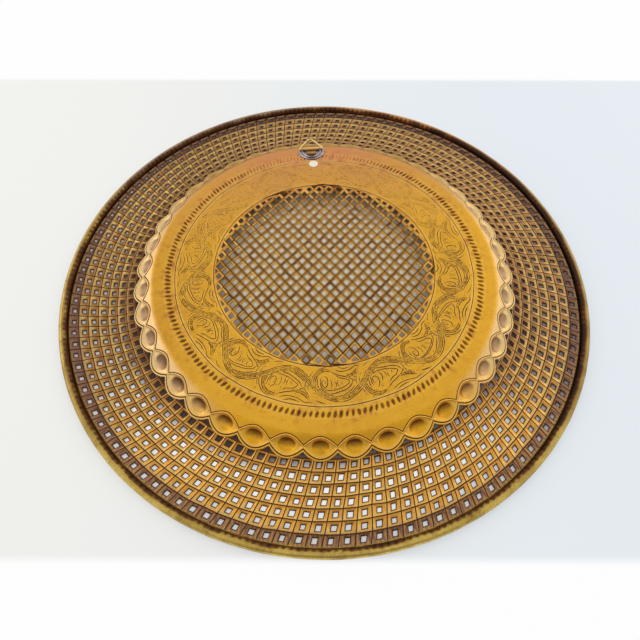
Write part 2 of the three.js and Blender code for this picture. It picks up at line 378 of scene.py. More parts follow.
def zoned_brass(name, gold, toned, dirt=0.55, rough=0.42, pale=False, stippled=False):
    """Brass of the base, the ovals and the centre."""
    brass = Brass(name, gold, toned, dirt)
    if pale:
        brass.pale_shoulder()
    brass.lay_zones()
    return brass.age(rough, stippled)


# Pieces of the visual model

def add_object(name, data):
    made = bpy.data.objects.new(name, data)
    bpy.context.scene.collection.objects.link(made)
    return made


def toned_grid(columns, rows):
    """Grid to be shaped: its mesh, its layer of tones, and each corner with its column and row."""
    bm = bmesh.new()
    bmesh.ops.create_grid(bm, x_segments=columns, y_segments=rows, size=1)
    tone = bm.verts.layers.float.new("tone")
    corners = [(corner, round((corner.co.x + 1) / 2 * columns), round((corner.co.y + 1) / 2 * rows))
               for corner in bm.verts]
    return bm, tone, corners


def band_grid(columns, rows, place):
    """Closed band of quads round the tray. place gives a corner's point and tone from its column and row."""
    bm, tone, corners = toned_grid(columns, rows)
    for corner, column, row in corners:
        corner.co, corner[tone] = place(column % columns, row)
    seam = [corner for corner, column, row in corners if column in (0, columns)]
    bmesh.ops.remove_doubles(bm, verts=seam, dist=0.001 * MM)
    bmesh.ops.reverse_faces(bm, faces=bm.faces)
    return bm


def finish_piece(bm, name, material, node, body="tray", smooth=True, thick=0.0, side=-1):
    """Makes an object of a bmesh, which stands for a node of the frame.

    thick is its wall's thickness. side is -1 for a wall behind the surface and 0 for one round it.
    """
    for face in bm.faces:
        face.smooth = smooth
    for edge in bm.edges:
        edge.smooth = not edge.is_boundary
    mesh = bpy.data.meshes.new(name)
    bm.to_mesh(mesh)
    bm.free()
    mesh.materials.append(material)
    piece = add_object(name, mesh)
    if thick:
        wall = piece.modifiers.new("wall", "SOLIDIFY")
        wall.thickness = thick
        wall.offset = side
    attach(piece, body)
    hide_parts(node)
    return piece


# Pits of the pierced sheet
GROOVE_RISE = 0.04 * MM
RIDGE_WIDTH = 0.2 * MM
RIDGE_RISE = 0.36 * MM
HOLE_BEVEL = 0.15 * MM
HOLE_ASKEW = 0.16 * MM


def pierce(bm, cells, rng, hole, wall_tone, lip, depth, groove, groove_tone, slant=0.0, scale=1.0):
    """Works each cell into a shallow pit with a line round it and a square hole in its middle.

    hole gives half the hole's width from the pit's middle, and wall_tone a pit corner's tone, painted light
    and shade included, from its place and the pit's middle. slant darkens its inward side.
    """
    tone = bm.verts.layers.float["tone"]

    def inset(width, rise, shade):
        bmesh.ops.inset_individual(
            bm, faces=cells, thickness=width * scale, depth=rise * scale, use_even_offset=True)
        for face in cells:
            middle = face.calc_center_median()
            for corner in face.verts:
                inner = max(0.0, middle.xy.length - corner.co.xy.length) / scale
                corner[tone] = shade + rng.uniform(-0.06, 0.06) + inner / MM * slant

    inset(groove, GROOVE_RISE, groove_tone)
    inset(RIDGE_WIDTH, RIDGE_RISE, 0.0)
    inset(RIDGE_WIDTH, 0.0, 0.1)
    for face in cells:
        middle = face.calc_center_median()
        squared_hole(face, hole(middle) + lip, -depth, rng)
        for corner in face.verts:
            corner[tone] = wall_tone(corner.co, middle) + rng.uniform(-0.08, 0.08)
    inset(HOLE_BEVEL, -0.1 * MM, 0.8)
    inset(lip / scale - HOLE_BEVEL, -0.45 * MM, 0.95)
    bmesh.ops.delete(bm, geom=cells, context="FACES_ONLY")


def squared_hole(face, half, rise, rng):
    """Draws a four-sided cell's middle to a square, a little askew, and sinks it."""
    middle = face.calc_center_median()
    face.normal_update()
    normal = face.normal.copy()
    corners = [corner.co - middle for corner in face.verts]
    across = ((corners[0] + corners[1]) - (corners[2] + corners[3])) / 4
    along = ((corners[1] + corners[2]) - (corners[3] + corners[0])) / 4
    shift = across.normalized() * rng.gauss(0, HOLE_ASKEW) + along.normalized() * rng.gauss(0, HOLE_ASKEW)
    across *= min(half * rng.uniform(0.9, 1.08) / across.length, 0.9)
    along *= min(half * rng.uniform(0.9, 1.08) / along.length, 0.9)
    signs = ((1, -1), (1, 1), (-1, 1), (-1, -1))
    for corner, (side_across, side_along) in zip(face.verts, signs):
        corner.co = middle + shift + across * side_across + along * side_along + normal * rise


# Flange, pierced by rows of square holes whose lines lean as they go in
FLANGE_COLUMNS = 124
FLANGE_ROWS = 7
FLANGE_ROW = 8.93 * MM
FLANGE_START = FLANGE_OUTER - 0.9 * MM - FLANGE_ROWS * FLANGE_ROW
FLANGE_LEAN = math.radians(3.8)
FLANGE_HOLE = 3.7 * MM
FLANGE_SUNK = 0.45 * MM
FLANGE_LOWEST = 1.75 * MM


def flange():
    rng = random.Random(11)

    def place(column, row):
        share = row / FLANGE_ROWS
        wander = rng.gauss(0, 0.2 * MM) if 0 < row < FLANGE_ROWS else 0.0
        radius = FLANGE_START + row * FLANGE_ROW + wander
        angle = column * TURN / FLANGE_COLUMNS + FLANGE_LEAN * (1 - share) + rng.gauss(0, 0.0009)
        height = max(back_height(radius) - FLANGE_SUNK, FLANGE_LOWEST) + rng.gauss(0, 0.05 * MM)
        return polar(radius, angle, height), 0.95

    bm = band_grid(FLANGE_COLUMNS, FLANGE_ROWS, place)

    def wall_tone(corner, middle):
        # Painted light and shade: walls on a pit's outer side lighter, and the innermost row darker with
        # painted shade below the ovals
        outward = (corner.xy.length - middle.xy.length) / FLANGE_HOLE
        rows_out = (middle.xy.length - FLANGE_START) / FLANGE_ROW
        return 0.28 - 0.3 * outward + 0.3 * (1 - smooth_step(rows_out, 0.6, 1.2))

    def hole(middle):
        return FLANGE_HOLE / 2 * (0.86 - 0.14 * middle.y / middle.xy.length)

    pierce(bm, bm.faces[:], rng, hole, wall_tone, lip=0.8 * MM, depth=0.7 * MM, groove=0.27 * MM,
           groove_tone=0.7, slant=0.05)
    brass = Brass("flange_brass", ORANGE_GOLD, ORANGE_BROWN, dirt=0.65)
    brass.dull_away(0.85)
    brass.lay_zones()
    return finish_piece(bm, "flange_piercing", brass.age(0.36), "pierced_dish", smooth=False, thick=0.75 * MM)


# Centre, pierced on a lattice of lines that run aslant both ways
GRILLE_HALF_X = 5.2 * MM
GRILLE_HALF_Y = 6.15 * MM
GRILLE_HOLE = 4.5 * MM
GRILLE_CELLS = 44
GRILLE_SIDES = 96
GRILLE_WHOLE = 2 * GRILLE_HALF_X * GRILLE_HALF_Y
GRILLE_SUNK = 0.55 * MM
GRILLE_EDGE = 3.5 * MM
# Share of a whole cell from which a cut one is pierced, and below which it is left plain
PART_PIERCED = 0.32
PART_LEAST = 0.004


def centre_grille():
    rng = random.Random(5)
    # Vector noise starts from the clock unless it is seeded
    noise.seed_set(5)
    bm = bmesh.new()
    bmesh.ops.create_grid(bm, x_segments=GRILLE_CELLS, y_segments=GRILLE_CELLS, size=GRILLE_CELLS / 2)
    tone = bm.verts.layers.float.new("tone")
    for corner in bm.verts:
        i, j = corner.co.x, corner.co.y
        point = Vector(((i + j) * GRILLE_HALF_X, (i - j) * GRILLE_HALF_Y, 0))
        drift = noise.noise_vector(point / (30 * MM)) * 0.55 * MM
        corner.co = point + Vector((drift.x, drift.y, 0))
        corner[tone] = 0.95
    bmesh.ops.reverse_faces(bm, faces=bm.faces)
    bmesh.ops.rotate(bm, verts=bm.verts, matrix=Matrix.Rotation(PHOTO_TURN, 3, "Z"))
    for side in range(GRILLE_SIDES):
        outward = polar(1, side * TURN / GRILLE_SIDES, 0)
        everything = bm.verts[:] + bm.edges[:] + bm.faces[:]
        bmesh.ops.bisect_plane(
            bm, geom=everything, plane_co=outward * GRILLE_RADIUS, plane_no=outward, clear_outer=True)
    for corner in bm.verts:
        if corner.co.xy.length > GRILLE_RADIUS - GRILLE_EDGE:
            corner[tone] = 0.3
        corner.co.z = BASE_TOP - GRILLE_SUNK + hand_wave(corner.co, 40 * MM, 0.3 * MM)
    full = [f for f in bm.faces if len(f.verts) == 4 and f.calc_area() > 0.93 * GRILLE_WHOLE]
    kept = set(full)
    cut = [f for f in bm.faces if f not in kept]

    def wall_tone(corner, middle):
        # Painted light and shade: walls on a pit's far and left side darker, on its near and right side
        # lighter
        return 0.24 + 0.09 * (2 * (corner.y - middle.y) - (corner.x - middle.x)) / (GRILLE_HOLE / 2)

    def hole(middle):
        return GRILLE_HOLE / 2

    pierce(bm, full, rng, hole, wall_tone, lip=0.45 * MM, depth=0.75 * MM, groove=0.52 * MM,
           groove_tone=1.0, scale=0.92)
    for face in cut:
        share = face.calc_area() / GRILLE_WHOLE
        if share > PART_LEAST:
            pierce_part(bm, face, share)
    material = zoned_brass("grille_brass", GRILLE_GOLD, GRILLE_BROWN, dirt=0.65, rough=0.32)
    return finish_piece(bm, "centre_piercing", material, "pierced_dish", smooth=False, thick=0.85 * MM)


def pierce_part(bm, face, share):
    """Smaller pit for a cell that the circle cuts, or a plain facet where it leaves too little."""
    tone = bm.verts.layers.float["tone"]
    pierced = share > PART_PIERCED
    # Width and rise of each step in mm, and its tone
    steps = ((0.4, 0.38, 0.1), (0.95, -0.4, 0.3), (0.45, -0.45, 0.9)) if pierced else ((0.45, 0.38, 0.1),)
    size = min(1.0, share * 1.3 + 0.1) * MM
    for width, rise, shade in steps:
        bmesh.ops.inset_individual(
            bm, faces=[face], thickness=width * size, depth=rise * MM, use_even_offset=pierced)
        for corner in face.verts:
            corner[tone] = shade
    if pierced:
        bmesh.ops.delete(bm, geom=[face], context="FACES_ONLY")


# Sloped band of pointed ovals with crossing borders
OVALS = 40
OVAL_COLUMNS = 24
OVAL_MIDDLE = BASE_RADIUS + 9.4 * MM
OVAL_HALF_HEIGHT = 6.95 * MM
OVAL_PHASE = 0.3
OVAL_HALF_WIDTH = math.pi * OVAL_MIDDLE / OVALS
OVAL_POINT = 1.8
BOWL_HALF_LENGTH = 7.9 * MM
BOWL_HALF_HEIGHT = 5.3 * MM
BOWL_DEPTH = 3.0 * MM
FACET_DEPTH = 0.95 * MM
FACET_REACH = 1.5 * MM
BAND_TOP = BASE_RADIUS - 0.3 * MM
BAND_FOOT = FLANGE_INNER + 1.6 * MM
# Distance outside the oval's border, rise and tone of each line, from the border outwards
UPPER_LINES = ((0.0, 0.6, 0.0), (0.35, 0.45, 0.05), (0.6, 0.05, 0.5), (0.9, -0.6, 1.0), (1.2, -0.1, 0.5),
               (1.5, 0.1, 0.1), (1.8, 0.0, 0.2), (2.0, 0.0, 0.2), (2.2, 0.0, 0.2))
LOWER_LINES = ((0.35, 0.45, 0.05), (0.6, 0.0, 0.5), (0.9, -0.7, 1.0), (1.2, -0.2, 0.7), (1.5, 0.3, 0.15),
               (2.0, 0.5, 0.0), (2.55, -0.1, 0.5))
INNER_SHARES = (-0.93, -0.84, -0.72, -0.58, -0.42, -0.22, 0.0, 0.22, 0.42, 0.58, 0.72, 0.84, 0.93)
UPPER_SPARE = 3
LOWER_SPARE = 4
# Openings below the borders' crossings: half width, and the radii between which they lie
EYE_HALF = 1.9 * MM
EYE_INNER = 176.0 * MM
EYE_OUTER = 178.7 * MM


def hollow(x, radius):
    """Depth and tone at a place in an oval: a gentle facet that falls to a bowl, darkened with painted shade
    that deepens towards its inward side.
    """
    from_border = oval_half(x) - abs(radius - OVAL_MIDDLE)
    facet = FACET_DEPTH * (1 - math.exp(-from_border / FACET_REACH))
    inward = (OVAL_MIDDLE - radius) / BOWL_HALF_HEIGHT
    reach = (x / BOWL_HALF_LENGTH) ** 2 + inward ** 2
    bowl = BOWL_DEPTH * max(0.0, 1 - reach ** 1.25)
    # Tone: painted shade in the bowl, deepest on its inward side
    return facet + bowl, 0.12 + (0.4 + 0.3 * inward) * min(1.0, max(0.0, 4 * (1 - reach)))


def oval_half(x):
    return OVAL_HALF_HEIGHT * max(0.0, 1 - (abs(x) / OVAL_HALF_WIDTH) ** OVAL_POINT)


def oval_rows(x):
    """Radius, rise and tone along the band at a distance from an oval's middle, from the base outwards."""
    half = oval_half(x)
    steep = OVAL_POINT * OVAL_HALF_HEIGHT / OVAL_HALF_WIDTH * (abs(x) / OVAL_HALF_WIDTH) ** (OVAL_POINT - 1)
    spread = math.sqrt(1 + steep * steep)
    rows = []
    first = OVAL_MIDDLE - half - UPPER_LINES[-1][0] * MM * spread
    for i in range(UPPER_SPARE):
        rows.append((BAND_TOP + (first - BAND_TOP) * i / UPPER_SPARE, 0.0, 0.2))
    for out, rise, tone in reversed(UPPER_LINES):
        rows.append((OVAL_MIDDLE - half - out * MM * spread, rise * MM, tone))
    for share in INNER_SHARES:
        radius = OVAL_MIDDLE + half * share
        depth, tone = hollow(x, radius)
        lip = 0.5 * MM * math.exp(-(1 - abs(share)) * half / (0.5 * MM))
        rows.append((radius, lip - depth, tone))
    rows.append((OVAL_MIDDLE + half, 0.6 * MM, 0.0))
    for out, rise, tone in LOWER_LINES:
        rows.append((OVAL_MIDDLE + half + out * MM * spread, rise * MM, tone))
    last = rows[-1][0]
    foot = max(BAND_FOOT, last + 0.1 * MM)
    # Painted shade darkens the rows where the band falls into the flange
    for i in range(1, LOWER_SPARE + 1):
        rows.append((last + (foot - last) * i / LOWER_SPARE, -0.1 * MM, 0.75))
    return rows


def slope_point(radius, angle, rise):
    """Point above the sheet's back face, measured square to it."""
    reach = 0.4 * MM
    fall = (back_height(radius - reach) - back_height(radius + reach)) / (2 * reach)
    normal = Vector((fall, 1)).normalized()
    return polar(radius + rise * normal.x, angle, back_height(radius) + rise * normal.y)


def oval_band():
    columns = [oval_rows((i / OVAL_COLUMNS * 2 - 1) * OVAL_HALF_WIDTH) for i in range(OVAL_COLUMNS)]
    rng = random.Random(23)
    depths = [rng.uniform(0.88, 1.08) for _ in range(OVALS)]
    rows = len(columns[0]) - 1

    def place(column, row):
        oval, step = divmod(column, OVAL_COLUMNS)
        radius, rise, tone = columns[step][row]
        angle = (column / OVAL_COLUMNS - 0.5 + OVAL_PHASE) * TURN / OVALS
        if rise < -0.8 * MM:
            rise = rise * depths[oval]
            # Painted shade in the bowls stays deep on the near side and is lighter elsewhere
            tone = min(tone, 0.4 + 0.5 * smooth_step(-math.sin(angle), 0.3, 0.85))
        return slope_point(radius, angle, rise), tone

    bm = band_grid(OVALS * OVAL_COLUMNS, rows, place)
    eyes = []
    for face in bm.faces:
        middle = face.calc_center_median()
        radius = middle.xy.length
        tip = (math.atan2(middle.y, middle.x) * OVALS / TURN - OVAL_PHASE) % 1
        beside = abs(tip - 0.5) * 2 * OVAL_HALF_WIDTH
        below_border = middle.z < back_height(radius) + 0.15 * MM
        if beside < EYE_HALF and EYE_INNER < radius < EYE_OUTER and below_border:
            eyes.append(face)
    bmesh.ops.delete(bm, geom=eyes, context="FACES")
    material = zoned_brass("oval_brass", GOLD, OLD_GOLD, pale=True)
    return finish_piece(bm, "oval_band", material, "pierced_dish", thick=0.85 * MM)


# Flat base between the centre and the ovals: plain, punched and chased
DASHES = 212
DASH_RADIUS = 146.7 * MM
DASH_LEAN = math.radians(11)
DASH_ACROSS = (-2.17, -1.6, -1.2, -0.85, -0.45, 0.0, 0.45, 0.85, 1.2, 1.6)
DASH_ALONG = (-4.6, -3.7, -3.1, -2.6, -1.9, -1.0, 0.0, 1.0, 1.9, 2.6, 3.1, 3.7, 4.6)
DASH_HALF_WIDTH = 1.6 * MM
DASH_HALF_LENGTH = 3.5 * MM
DASH_DEPTH = 0.55 * MM
DASH_LIP = 0.13 * MM
DASH_CROWDING = 0.12


def base_point(radius, angle, rise=0.0):
    point = polar(radius, angle, back_height(radius))
    point.z += hand_wave(point, 45 * MM, 0.12 * MM) + rise
    return point


def dash_ring():
    """Ring of slanting punch marks, each a narrow hollow with a lip."""
    rng = random.Random(3)
    across = len(DASH_ACROSS)
    marks = [[rng.uniform(0.9, 1.12), rng.uniform(0.9, 1.1), rng.gauss(0, 0.25), rng.gauss(0, 0.1)]
             for _ in range(DASHES)]

    def place(column, row):
        dash, step = divmod(column, across)
        wide, tall, slip, tilt = marks[dash]
        x = DASH_ACROSS[step] * MM
        y = DASH_ALONG[row] * MM
        reach = math.hypot(x / (DASH_HALF_WIDTH * wide), (y - slip * MM) / (DASH_HALF_LENGTH * tall))
        depth = -DASH_DEPTH * (1 - smooth_step(reach, 0.35, 1.05))
        lip = DASH_LIP * math.exp(-((reach - 1.25) / 0.2) ** 2)
        tone = max(0.0, 1 - smooth_step(reach, 0.6, 1.15)) * 0.55 + 0.12
        lean = -math.tan(DASH_LEAN + tilt) * y / DASH_RADIUS
        even = dash * TURN / DASHES
        spread = 1 - DASH_CROWDING * math.sin(even)
        angle = even + DASH_CROWDING * math.cos(even) + x * spread / DASH_RADIUS + lean
        return base_point(DASH_RADIUS + y, angle, depth + lip), tone

    return band_grid(DASHES * across, len(DASH_ALONG) - 1, place)


def plain_ring(radii, columns, line=None, waver=0.0):
    """Plain ring of the base, with a chased line round it if one is asked for."""
    def place(column, row):
        angle = column * TURN / columns
        radius = radii[row]
        rise, tone = 0.0, 0.16
        if line is not None and abs(radius - line) < 0.8 * MM:
            away = abs(radius - line)
            rise = -0.35 * MM * (1 - smooth_step(away, 0.0, 0.5 * MM))
            tone = 0.72 * (1 - smooth_step(away, 0.2 * MM, 0.56 * MM)) + 0.05
            radius += waver * noise.noise(polar(radius, angle, 0) / (22 * MM))
        return base_point(radius, angle, rise), tone
    return band_grid(columns, len(radii) - 1, place)


def spaced(first, last, count):
    return [first + (last - first) * i / count for i in range(count + 1)]


CIRCLE_RADIUS = 140.2 * MM
EDGE_LINE_RADIUS = GRILLE_RADIUS + 0.5 * MM
RING_COLUMNS = 720
LINE_OFFSETS = (-0.78, -0.55, -0.25, 0.0, 0.25, 0.55, 0.78)


def engraved_base():
    material = zoned_brass("base_brass", GOLD, OLD_GOLD, pale=True, stippled=True)
    dash_inner = DASH_RADIUS + DASH_ALONG[0] * MM
    dash_outer = DASH_RADIUS + DASH_ALONG[-1] * MM
    line = [CIRCLE_RADIUS + offset * MM for offset in LINE_OFFSETS]
    edge = [EDGE_LINE_RADIUS + offset * MM for offset in LINE_OFFSETS[2:]]
    inner = [GRILLE_RADIUS - 0.15 * MM] + edge + spaced(GRILLE_RADIUS + 2.5 * MM, line[0] - 1.5 * MM, 16)
    pieces = [
        ("scroll_ground", plain_ring(inner, RING_COLUMNS, EDGE_LINE_RADIUS, 0.3 * MM)),
        ("circle_line",
         plain_ring([inner[-1]] + line + [dash_inner], RING_COLUMNS, CIRCLE_RADIUS, 0.45 * MM)),
        ("dash_ring", dash_ring()),
        ("plain_border", plain_ring(spaced(dash_outer, BAND_TOP, 8), RING_COLUMNS)),
    ]
    for name, bm in pieces:
        finish_piece(bm, name, material, "pierced_dish", thick=0.9 * MM)


# Scrolls chased between the circle and the centre: eighteen curled leaves beside an undulating stem
SCROLLS = 18
SCROLL_MIDDLE = 122.0 * MM
SCROLL_PITCH = TURN * SCROLL_MIDDLE / SCROLLS / MM
STEM_SWING = 12.3
SCROLL_PHASE = math.radians(-11.4)
STEM_SHIFT = 4.0
# Strokes of one leaf in mm, x anticlockwise along the band and y towards the stem's turn
LEAF_BANDS = (
    ((-4.6, 11.2), (-12.2, 7.0), (-15.9, 0.8), (-16.2, -5.6), (-12.9, -11.2), (-7.6, -13.6), (-2.0, -12.8)),
    ((9.4, -6.6), (15.4, -7.2), (20.2, -9.8), (23.0, -13.4)),
)
LEAF_LINES = (
    ((-2.0, -12.8), (3.7, -9.6), (10.4, -6.9), (16.2, -3.9), (20.4, -0.6)),
    ((-18.2, 1.6), (-19.0, -4.6), (-16.8, -10.4), (-12.2, -14.8), (-6.2, -16.6)),
    ((-20.8, 4.4), (-21.8, -1.4), (-20.8, -7.6), (-18.4, -12.4)),
    ((-13.4, -7.6), (-14.0, -2.4), (-12.2, 3.2), (-8.4, 6.4), (-2.8, 7.0), (3.8, 5.8), (10.2, 3.6),
     (14.6, 0.2), (16.2, -3.9)),
    ((-11.2, -7.4), (-12.0, -2.4), (-10.8, 2.0), (-7.8, 4.4), (-2.8, 4.8), (3.8, 3.4), (9.2, 1.6),
     (12.6, -1.4), (9.6, -4.4), (5.0, -5.8), (0.6, -8.8)),
    ((-9.4, -8.8), (-6.4, -6.4), (-5.6, -1.9), (-7.4, 1.4), (-9.8, 0.4), (-10.2, -2.8), (-8.8, -5.0)),
    ((-7.8, -4.2), (-7.2, -2.4), (-8.4, -1.0)),
    ((-3.0, 3.4), (-1.4, -0.8), (-2.8, -5.6)),
    ((0.8, 3.0), (1.8, -0.8), (0.4, -3.6)),
    ((4.2, 2.0), (2.8, -2.2), (4.0, -4.4)),
    ((7.4, 1.0), (6.0, -2.4)),
    ((16.2, -3.9), (20.8, -7.2), (23.6, -12.8)),
    ((1.6, -14.4), (7.8, -12.0), (15.2, -12.8), (21.0, -15.4), (26.4, -14.6)),
    ((3.6, -16.6), (9.4, -14.4), (15.8, -15.4)),
    ((-22.6, 8.4), (-24.2, 2.4), (-24.0, -3.6)),
    ((-7.0, 9.4), (-1.0, 10.2), (6.0, 9.2), (12.4, 6.0), (17.6, 2.0)),
    ((-15.0, 12.6), (-11.0, 14.6), (-6.0, 16.0)),
    ((12.0, 11.6), (16.4, 9.0), (20.6, 5.2)),
)
TICKS = 22
# Distance from the middle, rise and tone across half a line and half a shaded band, in mm
HALF_LINE = ((0.36, 0.08, 0.66), (0.72, 0.17, 0.0), (1.05, -0.06, 0.25))
HALF_BAND = ((0.6, 0.12, 0.42), (0.95, 0.08, 0.62), (1.4, 0.08, 0.68), (1.7, 0.17, 0.0), (2.0, -0.06, 0.25))
LINE_SECTION, BAND_SECTION = [
    tuple((-offset, rise, tone) for offset, rise, tone in reversed(half)) + half
    for half in (HALF_LINE, HALF_BAND)]
STROKE_STEP = 1.1


def curve_through(points):
    """Even points along a smooth curve through a stroke's points."""
    ends = [points[0] * 2 - points[1]] + points + [points[-1] * 2 - points[-2]]
    fine = []
    for i in range(1, len(ends) - 2):
        before, start, stop, after = ends[i - 1:i + 3]
        count = max(2, math.ceil((stop - start).length / STROKE_STEP))
        for k in range(count):
            t = k / count
            fine.append(0.5 * (2 * start + (stop - before) * t
                               + (2 * before - 5 * start + 4 * stop - after) * t * t
                               + (3 * start - before - 3 * stop + after) * t ** 3))
    fine.append(points[-1])
    return fine


def add_stroke(target, route, weight, section=LINE_SECTION):
    """One chased line: a dark furrow between two fine lips, narrow at its ends."""
    length = len(route) - 1
    bm, tone, corners = toned_grid(length, len(section) - 1)
    for corner, along, across in corners:
        offset, rise, shade = section[across]
        before = route[max(along - 1, 0)]
        after = route[min(along + 1, length)]
        heading = (after - before).normalized()
        square = Vector((-heading.y, heading.x))
        taper = min(1.0, 0.35 + 0.22 * min(along, length - along))
        spot = route[along] + square * offset * weight * taper
        angle = spot.x * MM / SCROLL_MIDDLE + SCROLL_PHASE
        corner.co = base_point(SCROLL_MIDDLE + spot.y * MM, angle, rise * taper * MM)
        corner[tone] = shade * (0.75 + 0.25 * taper)
    bmesh.ops.recalc_face_normals(bm, faces=bm.faces)
    if bm.faces[:][0].normal.z < 0:
        bmesh.ops.reverse_faces(bm, faces=bm.faces)
    scratch = bpy.data.meshes.new("stroke")
    bm.to_mesh(scratch)
    bm.free()
    target.from_mesh(scratch)
    bpy.data.meshes.remove(scratch)


def stem_route(unit, offset, rng):
    """Half a wave of the stem, at a distance to one side of its middle."""
    points = []
    for k in range(10):
        x = (unit + k / 9) * SCROLL_PITCH + STEM_SHIFT
        wave = (unit + k / 9) * math.pi
        swing = STEM_SWING * math.cos(wave)
        slant = -STEM_SWING * math.pi / SCROLL_PITCH * math.sin(wave)
        wander = rng.gauss(0, 0.12) if 0 < k < 9 else 0.0
        points.append(Vector((x, swing + offset * math.sqrt(1 + slant * slant) * 0.9 + wander)))
    return curve_through(points)


def leaf_route(unit, stroke, rng):
    """A leaf's stroke in its own stretch of the band, turned over in every other one."""
    side = 1 if unit % 2 == 0 else -1
    wander = Vector((rng.gauss(0, 0.25), rng.gauss(0, 0.25)))
    points = [Vector((x + unit * SCROLL_PITCH, y * side)) + wander
              + Vector((rng.gauss(0, 0.2), rng.gauss(0, 0.2))) for x, y in stroke]
    return curve_through(points)


def tick(rng):
    """Short straight stroke inside a leaf."""
    x, y = rng.uniform(-21, 21), rng.uniform(-15.5, 12)
    lean = rng.uniform(0, math.pi)
    reach = Vector((math.cos(lean), math.sin(lean))) * rng.uniform(0.7, 1.5)
    return (x - reach.x, y - reach.y), (x, y), (x + reach.x, y + reach.y)


def chased_scrolls():
    rng = random.Random(41)
    bm = bmesh.new()
    bm.verts.layers.float.new("tone")
    for unit in range(SCROLLS):
        add_stroke(bm, stem_route(unit, -2.2, rng), 0.9)
        add_stroke(bm, stem_route(unit, 0.0, rng), 0.85, BAND_SECTION)
        add_stroke(bm, stem_route(unit, 2.4, rng), 0.9)
        for strokes, lightest, section in ((LEAF_BANDS, 0.8, BAND_SECTION), (LEAF_LINES, 0.7, LINE_SECTION)):
            for stroke in strokes:
                weight = rng.uniform(lightest, 1.0)
                add_stroke(bm, leaf_route(unit, stroke, rng), weight, section)
        for _ in range(TICKS):
            add_stroke(bm, leaf_route(unit, tick(rng), rng), 0.7)
    material = zoned_brass("chasing_brass", GOLD, OLD_GOLD, stippled=True)
    return finish_piece(bm, "chased_scrolls", material, "pierced_dish")


# Edge rolled back over its wire, crimped along its root
CRIMPS = 280
CRIMP_STEPS = 6
NICKS = 90
ROLL_MIDDLE = RIM_RADIUS - ROLL_RADIUS
ROLL_TURN = math.radians(316)
ROLL_ARC = 18
# Offset and rise in mm of the strip that joins the roll to the flange
ROOT = ((-1.4, 1.1), (-0.5, 1.0), (0.1, 0.4), (0.9, 0.0))


def rolled_edge():
    rng = random.Random(8)
    bm = bmesh.new()
    tone = bm.verts.layers.float.new("tone")
    centre = Vector((ROLL_MIDDLE, 0, ROLL_RADIUS))
    start = bm.verts.new((ROLL_MIDDLE, 0, SHEET / 2))
    bmesh.ops.spin(bm, geom=[start], cent=centre, axis=(0, -1, 0), angle=ROLL_TURN, steps=ROLL_ARC)
    strip = [bm.verts.new((FLANGE_OUTER + offset * MM, 0, SHEET / 2 + rise * MM)) for offset, rise in ROOT]
    strip.append(start)
    for first, second in zip(strip, strip[1:]):
        bm.edges.new((first, second))
    bmesh.ops.spin(bm, geom=bm.verts[:] + bm.edges[:], cent=(0, 0, 0), axis=(0, 0, 1), angle=TURN,
                   steps=CRIMPS * CRIMP_STEPS, use_merge=True)
    bmesh.ops.recalc_face_normals(bm, faces=bm.faces)
    nicks = {rng.randrange(CRIMPS): rng.uniform(0.4, 1.0) for _ in range(NICKS)}
    bites = [rng.uniform(0.55, 1.0) for _ in range(CRIMPS)]
    for corner in bm.verts:
        crimp(corner, tone, nicks, bites)
    brass = Brass("edge_brass", EDGE_OLIVE, EDGE_BROWN, dirt=1.0)
    brass.dull_away(0.4)
    brass.edge_colours_by_side()
    return finish_piece(bm, "rolled_edge", brass.age(0.22), "pierced_dish", thick=0.9 * SHEET, side=0)


def facing(roll, degrees, low, high):
    """How much a place round the roll faces a direction, from 0 outwards over 90 upwards to 180 inwards."""
    return smooth_step(math.cos(roll - math.radians(degrees)), low, high)


def crimp(corner, tone, nicks, bites):
    """Bites a corner of the rolled edge in at its root, nicks it outside, and gives it its tone: painted
    shade at its root, on its inner side, deeper on the right, and on its underside at the near side, with
    painted streaks of sheen along it.
    """
    radius = corner.co.xy.length
    turn = math.atan2(corner.co.y, corner.co.x) / TURN % 1 * CRIMPS
    bite = math.exp(-((turn % 1 - 0.5) / 0.24) ** 2) * bites[int(turn) % CRIMPS]
    if radius < FLANGE_OUTER + 1.0 * MM and corner.co.z < 1.7 * MM:
        # Painted shade in the crevice under the roll, darkest in the crimps' bites
        root = smooth_step(radius, FLANGE_OUTER - 0.7 * MM, FLANGE_OUTER)
        corner[tone] = 0.3 + 0.6 * root + 0.2 * root * bite
        return
    roll = math.atan2(corner.co.z - ROLL_RADIUS, radius - ROLL_MIDDLE)
    # Painted shade on the roll's root and inner side, deeper on the right, and on its underside at the near
    # side
    inner_root = facing(roll, 138, 0.78, 0.98) if radius < ROLL_MIDDLE else 0
    inner_side_shade = facing(roll, 180, -0.25, 0.7)
    nick = nicks.get(int(turn), 0) * bite * facing(roll, -25, 0.85, 1)
    near = smooth_step(-corner.co.y / radius, 0.2, 0.8)
    low_side_shade = facing(roll, -20, 0.72, 1.0) * (0.1 + 0.9 * near)
    shade_on_right = 0.62 + 0.36 * smooth_step(corner.co.x / radius, 0.4, 0.9)
    push = noise.noise(corner.co / (9 * MM)) * 0.12 * MM - 0.3 * MM * nick + 0.35 * MM * bite * inner_root
    away = Vector((radius - ROLL_MIDDLE, corner.co.z - ROLL_RADIUS)).normalized()
    scale = (radius - 0.35 * MM * inner_root * (1 - bite) + away.x * push) / radius
    height = max(0.5 * SHEET, corner.co.z + away.y * push)
    corner.co = Vector((corner.co.x * scale, corner.co.y * scale, height))
    # Painted streaks of sheen and shade along the roll; where the tone stays low on its outer top it shows as
    # a painted highlight
    sheen_streak = noise.noise(Vector((corner.co.x, corner.co.y, 5 * MM * roll)) / (14 * MM))
    shade = shade_on_right * inner_side_shade + 0.3 * inner_root * bite + 0.8 * nick + (0.75 + 0.8 * sheen_streak) * low_side_shade
    corner[tone] = min(1.0, max(0.0, 0.05 + shade + 0.35 * sheen_streak))


